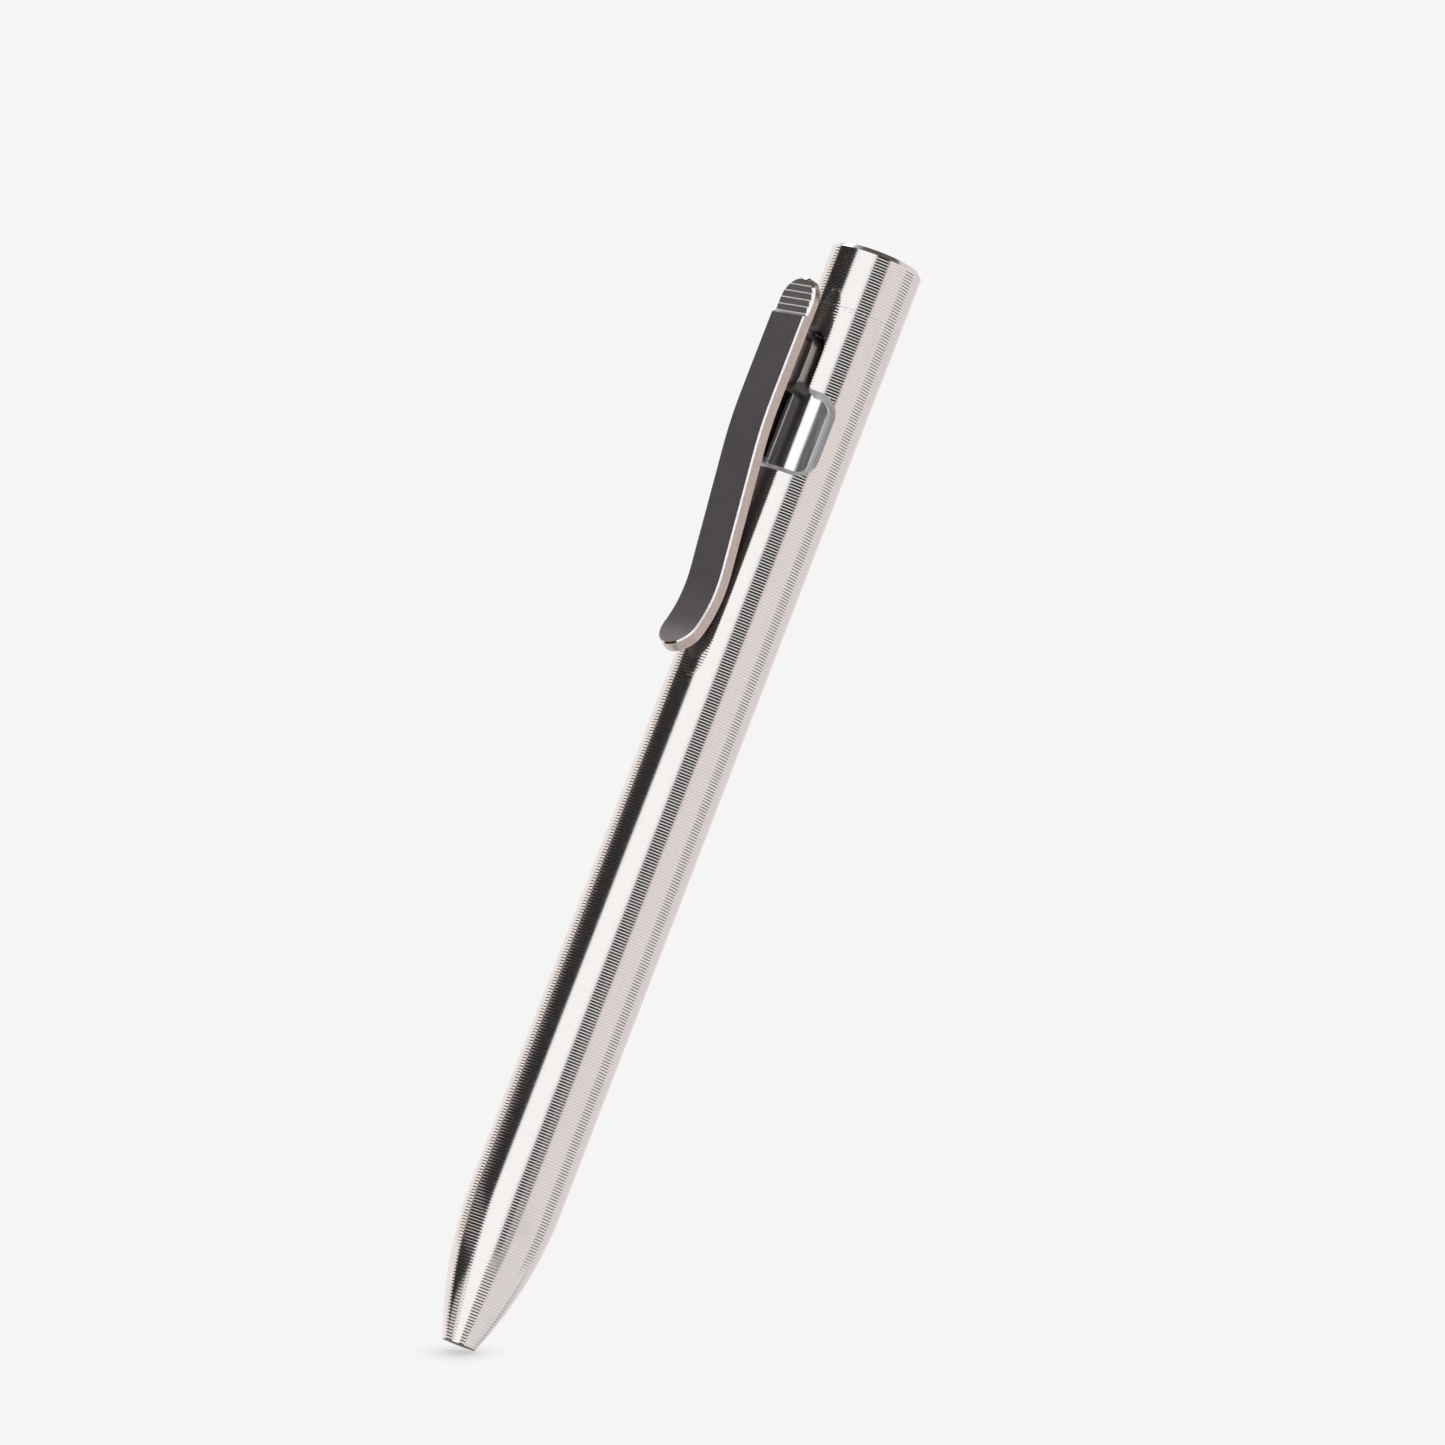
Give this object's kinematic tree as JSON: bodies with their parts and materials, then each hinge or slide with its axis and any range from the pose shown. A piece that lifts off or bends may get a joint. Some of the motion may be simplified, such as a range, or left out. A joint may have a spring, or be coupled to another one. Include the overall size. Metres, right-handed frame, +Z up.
{
  "type": "clip action pen",
  "caption": "Slim grooved metal ballpoint whose pocket clip pushes down and turns in a J-shaped side slot to put out the refill.",
  "frame": {"origin": "centre of the flat end of the nose, on the pen's axis, at the mouth the point comes out of", "axes": "+Z up the pen's axis from the writing end to the tail; -Y is the side the clip lies on; the slot's window opens from the clip towards +X"},
  "size_m": [0.0116, 0.0159, 0.14],
  "materials": {
    "barrel": "fine turned grooves over all of it, bright",
    "cap": "the same turned grooves, smooth chamfer",
    "seal": "matte",
    "bumper": "matte",
    "slider": "polished along its length",
    "ring": "waxy",
    "clip": "dark tumbled face, bright chamfered rim",
    "post": "milled",
    "screw": "plain",
    "spacer": "moulded",
    "spring": "bright wire",
    "casing": "drawn tube",
    "plug": "moulded",
    "ferrule": "turned",
    "point": "turned",
    "ball": "ground",
    "reservoir": "translucent",
    "ink": "black, wet",
    "follower": "clear grease"
  },
  "bodies": {
    "barrel": {"barrel": "barrel", "tail_cap_seal": "seal", "return_spring": "spring"},
    "tail_cap": {"tail_cap": "cap", "tail_bumper": "bumper"},
    "clip_and_slider": {"slider": "slider", "slider_ring_front": "ring", "slider_ring_rear": "ring", "clip": "clip", "clip_post": "post", "clip_screws": "screw", "lock_screw": "screw", "refill_spacer": "spacer", "refill_casing": "casing", "refill_end_plug": "plug", "refill_ferrule": "ferrule", "refill_point": "point", "ink_reservoir": "reservoir", "ink_column": "ink", "ink_follower": "follower"},
    "writing_ball": {"writing_ball": "ball"}
  },
  "joints": [
    {"name": "clip_push", "type": "slide", "parent": "barrel", "child": "clip_and_slider", "axis": [0, 0, -1], "range_m": [0, 0.0088], "stiffness_N_per_m": 250, "springref_m": -0.008, "deforming": ["return_spring"]},
    {"name": "tail_cap_off", "type": "slide", "parent": "barrel", "child": "tail_cap", "axis": [0, 0, 1], "range_m": [0, 0.012]},
    {"name": "ball_roll", "type": "hinge", "parent": "clip_and_slider", "child": "writing_ball", "pos_m": [0, 0, 0.005], "axis": [1, 0, 0], "continuous": true}
  ]
}
